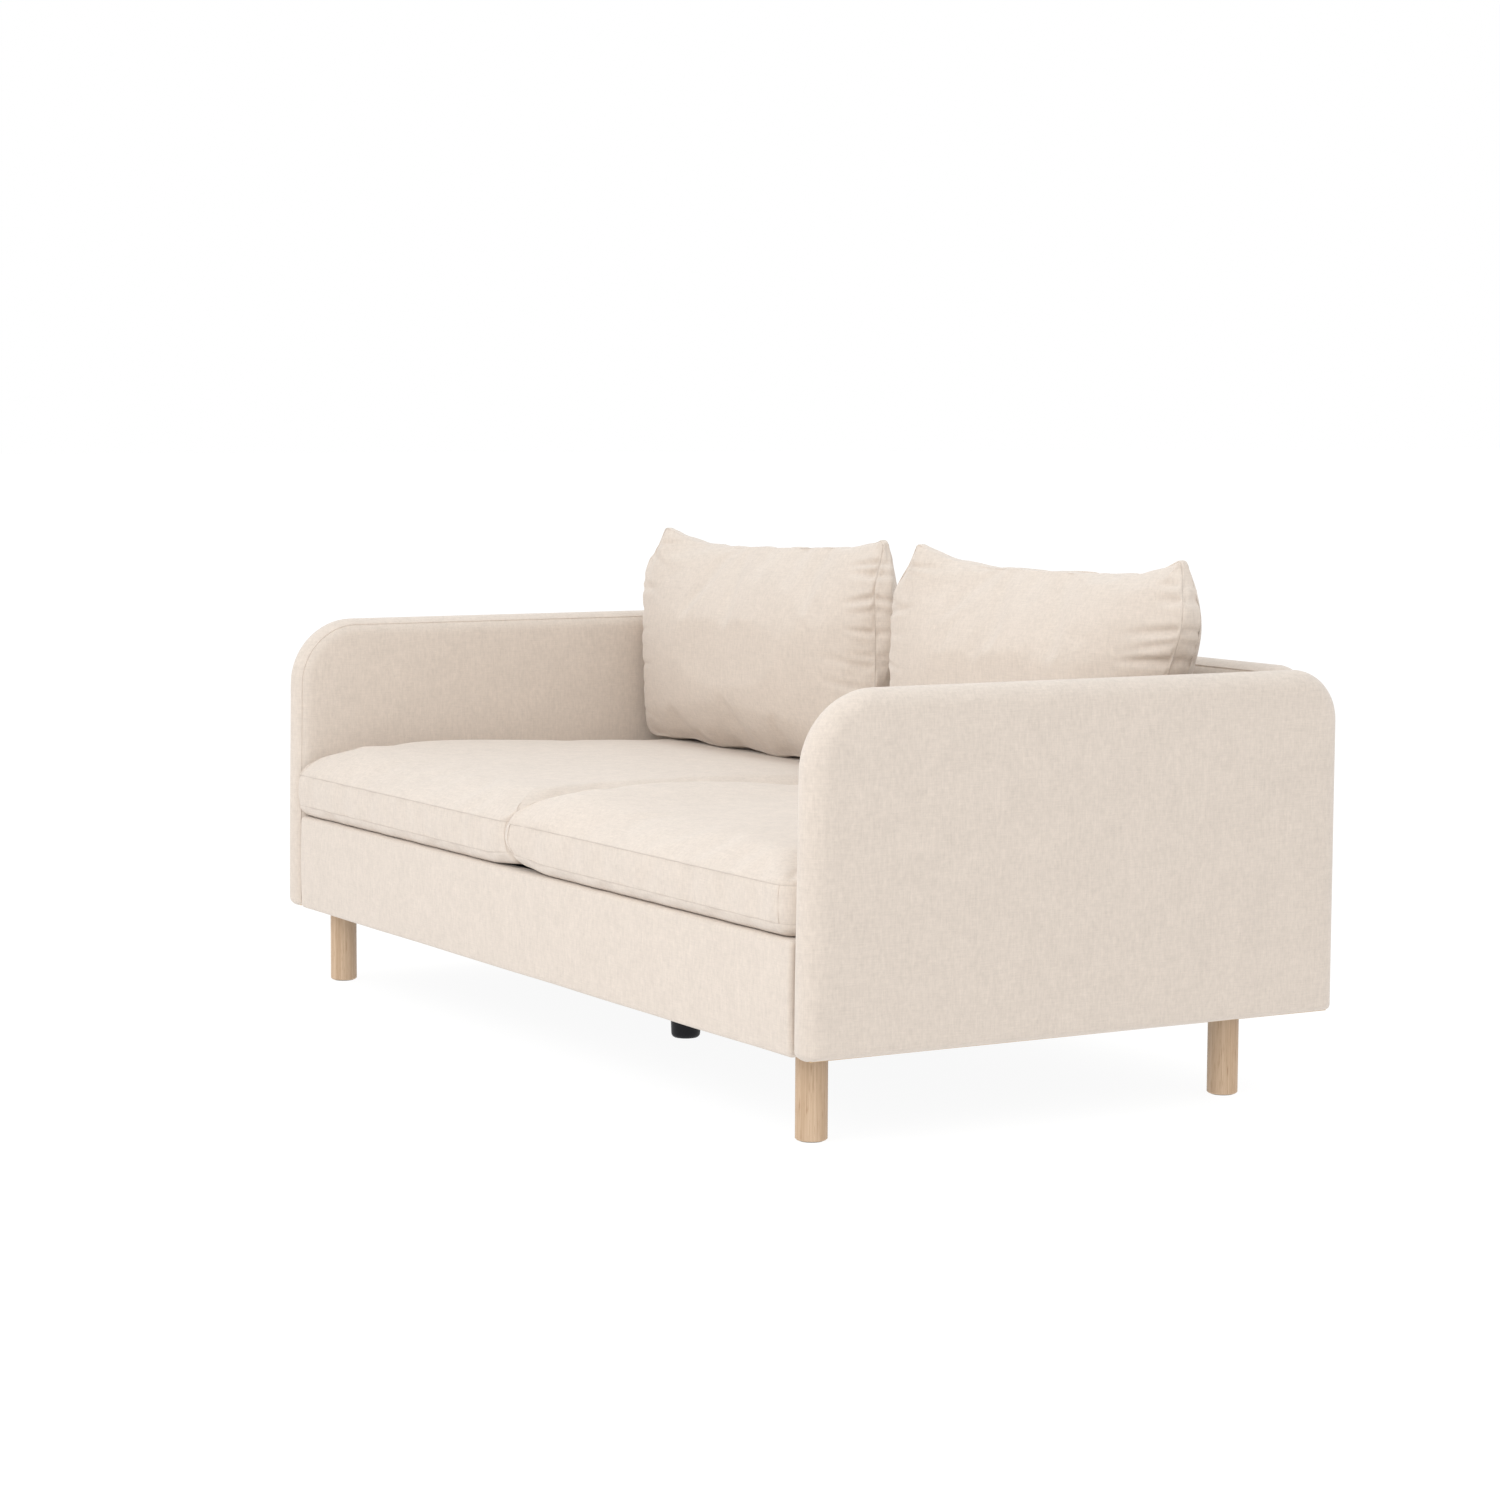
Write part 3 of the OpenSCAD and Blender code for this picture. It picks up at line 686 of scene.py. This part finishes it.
def upholster_seat(name, sign):
    """One seat cushion, held between its neighbours, with cords along its sewn edges."""
    low, high, _ = size_of(f"seat_cushion_cover_{name}")
    cushion, form, seams = build_seat_cushion(name, sign, **SEAT_SHAPES[name])
    keep_between(cushion, low.x - 0.5 * MM, high.x + 0.5 * MM, axis=X, behind=low.y + 35 * MM)
    keep_between(cushion, low.y - 8 * MM, high.y, axis=Y)
    keep_between(cushion, low.z, 1.0, axis=Z)
    body = f"seat_cushion_{name}"
    cords = [
        stitched_seam(f"{body}_seam_{tag}", cushion, form.rings[seam], SEAT_CORD, THREAD, closed=True)
        for tag, seam in zip(("lower", "upper"), seams)
    ]
    border = len(form.rings[0])
    for tag, corner_index in (("left", 0), ("right", form.cells[0])):
        for step in CORNER_STEPS:
            index = (corner_index + step) % border
            line = [ring[index] for ring in form.rings[seams[0] : seams[1] + 1]]
            part = "side" if (step < 0) == (tag == "left") else "front"
            cord_name = f"{body}_corner_{tag}_{part}"
            cords.append(stitched_seam(cord_name, cushion, line, CORNER_CORD, LOOKS["upholstery"]))
    for cord in cords:
        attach(cord, body)
    subdivide(cushion)
    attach(cushion, body)
    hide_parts(f"seat_cushion_cover_{name}", f"seat_cushion_core_{name}")


def pillow_profile():
    """Edge of a back cushion: front panel, seam, narrow side strip, seam, rear panel."""
    front = [(16 * MM, 1.0), (8 * MM, 0.985), (3 * MM, 0.95)]
    seam = [(0.6 * MM, 0.90), (2.2 * MM, PILLOW_SEAM), (0.4 * MM, 0.82)]
    strip = [(0.0, share) for share in (-0.65, -0.45, -0.2, 0.0, 0.2, 0.45, 0.65)]
    low_half = [(inset, -share) for inset, share in front + seam]
    high_half = [(inset, share) for inset, share in reversed(front + seam)]
    profile = low_half + strip + high_half
    seams = (len(front) + 1, len(profile) - len(front) - 2)
    return profile, seams


# For each back cushion: seed of its folds and unevenness, how far its right side leans in, how
# far its side strips swell, half the width of these strips, how far its top edge sags below the
# left and right upper corners, and how much its upper right corner narrows.
PILLOW_SHAPES = {
    "left": {
        "seed": 41, "pinch": 12 * MM, "side_puff": 22 * MM, "strip": 22 * MM,
        "sag": (34 * MM, 20 * MM), "taper": 0.012,
    },
    "right": {
        "seed": 47, "pinch": 70 * MM, "side_puff": 2 * MM, "strip": 19 * MM,
        "sag": (34 * MM, 31 * MM), "taper": 0.082,
    },
}
# Corner radii: lower left, lower right, upper right, upper left.
PILLOW_RADII = (34 * MM, 26 * MM, 14 * MM, 14 * MM)
PILLOW_CORD = 0.8 * MM
PILLOW_SEAM = 0.86  # place of the side seams, as a share of half the thickness
FOLD_HEIGHTS = (0.15, 0.27, 0.36, 0.45, 0.50, 0.60, 0.70, 0.74, 0.86, 0.91)  # shares of the height
FOLD_REACH = 150 * MM  # greatest length of a fold from its seam
FOLD_START = 7 * MM  # distance from the seam over which a fold grows to its depth
STRIP_SHARE = 0.5  # depth of the folds behind the front seam, compared with in front of it
REAR_FACING = 0.6  # surfaces that face further rearwards than this have no folds


def pillow_folds(seed, height, strength):
    """Gathers along a side seam: (height, length, width, depth, slope) of each."""
    chance = random.Random(seed)
    folds = []
    for share in FOLD_HEIGHTS:
        place = height * (share + chance.uniform(-0.015, 0.015))
        length = chance.uniform(0.4, 1.0) * FOLD_REACH
        width = chance.uniform(5.0, 8.0) * MM
        depth = strength * chance.uniform(3.0, 13.0) * MM
        folds.append((place, length, width, depth, chance.uniform(-0.25, 0.15)))
    return folds


def gather(piece, seam, base, folds):
    """Presses folds into a cushion beside a side seam, deepest near it and fading away."""
    line = sorted((p.z, p.x, p.y) for p in seam)
    heights = [p[0] for p in line]
    normals = [v.normal.copy() for v in piece.data.vertices]
    for vertex, normal in zip(piece.data.vertices, normals):
        k = min(max(bisect.bisect(heights, vertex.co.z), 1), len(line) - 1)
        (z0, x0, y0), (z1, x1, y1) = line[k - 1], line[k]
        t = min(max((vertex.co.z - z0) / max(z1 - z0, 1e-6), 0.0), 1.0)
        behind = vertex.co.y - lerp(y0, y1, t)
        away = math.hypot(vertex.co.x - lerp(x0, x1, t), behind)
        if away > FOLD_REACH or normal.y > REAR_FACING:
            continue
        depth = 0.0
        for height, length, width, deep, slope in folds:
            off = (vertex.co.z - base - height - slope * away) / width
            crease = math.exp(-off * off) - 0.45 * math.exp(-off * off / 6)
            depth += deep * crease * smooth(1 - away / length)
        depth *= smooth(away / FOLD_START) * (STRIP_SHARE if behind > 3 * MM else 1.0)
        vertex.co -= normal * depth


def build_back_cushion(name, seed, pinch, side_puff, strip, sag, taper):
    """A plump cushion with narrow side strips and eared upper corners."""
    low, high, size = size_of(f"back_cushion_cover_{name}")
    profile, seams = pillow_profile()
    form = Form((size.x, size.z), PILLOW_RADII, profile, cells=(50, 30), flat_inset=60 * MM, bend=3)
    centre_x = (low.x + high.x) / 2
    foot, tip, belly = 0.20 * size.y, 8 * MM, 0.37 * size.y
    centre_y = lerp(low.y, high.y, 0.46)
    foot_back, top_back, belly_back, strip_top = 6 * MM, -20 * MM, 8 * MM, 6 * MM
    reach_left, reach_right = 34 * MM, 24 * MM
    left_lean, left_taper = 24 * MM, 46 * MM
    foot_rise, foot_wave, face_wave, edge_wave = 3 * MM, 6 * MM, 2.2 * MM, MM

    def place(across, up, share):
        u, t = 2 * across / size.x, up / size.z
        to_right, to_left = smooth(0.5 + u / 2), smooth(0.5 - u / 2)
        crest = smooth((t - 0.75) / 0.25)
        plump = max(math.sin(math.pi * min(max(t, 0.0), 1.0)), 0.0)
        full = lerp(foot, tip, t) + belly * plump**0.62
        edge = lerp(strip, strip_top, crest)
        inside = max(1 - abs(u) ** 2.8, 0.0)
        half = lerp(min(edge, full), full, inside)
        middle = centre_y + lerp(foot_back, top_back, t) + belly_back * plump
        reach_out = reach_right * to_right * (1 - 0.6 * crest) + reach_left * to_left
        middle -= reach_out * abs(u) ** 3
        wide = 1 - lerp(0.05, taper, to_right) * smooth((t - 0.72) / 0.28)
        wide -= lerp(0.015, 0.045, to_right) * (1 - smooth(t / 0.55))
        side = math.copysign(abs(u) ** 10, u)
        bulge = side_puff * smooth((t - 0.25) / 0.4) * smooth((1 - t) / 0.2)
        bulge *= max(1 - (share / PILLOW_SEAM) ** 2, 0.0)
        lean = pinch * smooth((0.85 - t) / 0.45) * to_right
        lean += (left_lean * smooth((0.8 - t) / 0.35) - left_taper * crest) * to_left
        ear = abs(u) ** 4.5
        settle = lerp(*sag, to_right) * (1 - ear) * smooth((t - 0.55) / 0.45)
        creep = foot_rise + foot_wave * wander((across, 0.0, 0.0), 0.10, seed=seed)
        creep *= smooth(1 - t / 0.12)
        wave = face_wave * wander((across, up, share), 0.12, seed=seed + 1)
        return (
            centre_x + across * wide + side * bulge - lean,
            middle - share * half + wave * inside,
            low.z + up - settle + max(creep, 0.0) + edge_wave * wander((across, up, 0.0), 0.09, seed),
        )

    cushion = form.build(f"back_cushion_{name}", place, LOOKS["upholstery"])
    held = [index for seam in seams for index in form.rings[seam]]
    puff_up(cushion, held, pressure=2.5, growth=0.010, cap=11 * MM)
    return cushion, form, seams


def upholster_back_cushion(name):
    """One back cushion, with cords and gathers along its side seams."""
    low, high, size = size_of(f"back_cushion_cover_{name}")
    shape = PILLOW_SHAPES[name]
    cushion, form, seams = build_back_cushion(name, **shape)
    keep_between(cushion, low.y - 10 * MM, high.y + 1 * MM, axis=Y)
    body = f"back_cushion_{name}"
    across, up = form.cells
    edges = {}
    for tag, seam in zip(("rear", "front"), seams):
        ring = form.rings[seam]
        edges[tag, "right"] = ring[across + 1 : across + up]
        edges[tag, "left"] = ring[2 * across + up + 2 :]
    lines = {key: [cushion.data.vertices[i].co.copy() for i in edge] for key, edge in edges.items()}
    cord_looks = {"right": THREAD, "left": LOOKS["upholstery"]}
    for (tag, edge), line in lines.items():
        cord = tube(f"{body}_seam_{tag}_{edge}", line, PILLOW_CORD, cord_looks[edge], sides=6)
        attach(cord, body)
    subdivide(cushion, levels=2)
    for edge, strength in (("right", 1.0), ("left", 0.4)):
        folds = pillow_folds(shape["seed"] + len(edge), size.z, strength)
        gather(cushion, lines["front", edge], low.z, folds)
    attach(cushion, body)
    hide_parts(f"back_cushion_cover_{name}", f"back_cushion_fill_{name}")


# ---- stage, light and camera ----


def plain(name, colour, glow):
    """Pale stage surface with a little light of its own and a faint mottle."""
    look = Look(name, roughness=1.0)
    haze = look.grain((2.0,) * 3, detail=2.0)
    look.paint(look.ramp(haze, [(0.3, tint(colour, 0.99)), (0.7, colour)]))
    look.shader.inputs["Emission Color"].default_value = (1.0, 1.0, 1.0, 1.0)
    look.shader.inputs["Emission Strength"].default_value = glow
    look.shader.inputs["Specular IOR Level"].default_value = 0.0
    return look.material


def add_floor():
    reach = 60.0
    corners = [(-reach, -reach, 0), (reach, -reach, 0), (reach, reach, 0), (-reach, reach, 0)]
    look = plain("pale_floor", (0.12,) * 3, glow=0.93)
    floor = add_mesh("floor", [Vector(c) for c in corners], [(0, 1, 2, 3)], look)


def add_light(name, place, target, size, power, colour=(1.0, 1.0, 1.0)):
    data = bpy.data.lights.new(name, "AREA")
    data.shape = "DISK"
    data.size = size
    data.energy = power
    data.color = colour
    light = bpy.data.objects.new(name, data)
    light.location = place
    light.rotation_euler = (Vector(target) - Vector(place)).to_track_quat("-Z", "Y").to_euler()
    bpy.context.scene.collection.objects.link(light)


def add_world(strength):
    world = bpy.data.worlds.new("studio")
    world.use_nodes = True
    world.node_tree.nodes["Background"].inputs["Color"].default_value = (1.0, 1.0, 1.0, 1.0)
    world.node_tree.nodes["Background"].inputs["Strength"].default_value = strength
    bpy.context.scene.world = world


def add_camera():
    """Long lens one metre above the floor, well to the right of the sofa's front."""
    place = (4.9506, -2.9010, 1.0025)
    turn, dip, roll = math.radians(59.84), math.radians(5.48), math.radians(0.27)
    ahead = Vector((-math.sin(turn) * math.cos(dip), math.cos(turn) * math.cos(dip), -math.sin(dip)))
    right = Vector((math.cos(turn), math.sin(turn), 0.0))
    up = right.cross(ahead)
    tilted_right = right * math.cos(roll) + up * math.sin(roll)
    tilted_up = up * math.cos(roll) - right * math.sin(roll)
    data = bpy.data.cameras.new("camera")
    data.lens = 86.6
    data.sensor_width = 36.0
    camera = bpy.data.objects.new("camera", data)
    axes = Matrix((tilted_right, tilted_up, -ahead)).transposed()
    camera.matrix_world = Matrix.Translation(place) @ axes.to_4x4()
    bpy.context.scene.collection.objects.link(camera)
    bpy.context.scene.camera = camera


def build():
    dress_cad_nodes()
    for name, sign in SIDES.items():
        upholster_arm(name, sign)
        upholster_seat(name, sign)
        upholster_back_cushion(name)
    upholster_back()
    upholster_front()
    add_floor()
    add_world(1.0)
    add_light("key", place=(-2.2, -4.2, 4.2), target=(0, 0, 0.4), size=3.0, power=17)
    add_light("top", place=(0.5, 0.2, 4.5), target=(0, 0, 0.4), size=3.0, power=16, colour=(0.62, 0.84, 1.0))
    add_light("fill", place=(2.8, -3.2, 2.9), target=(-0.6, 0, 0.4), size=3.0, power=32)
    add_light("inner", place=(0.75, -2.6, 2.1), target=(-0.83, 0, 0.42), size=1.6, power=13)
    add_camera()
    bpy.context.scene.view_settings.view_transform = "Standard"


build()
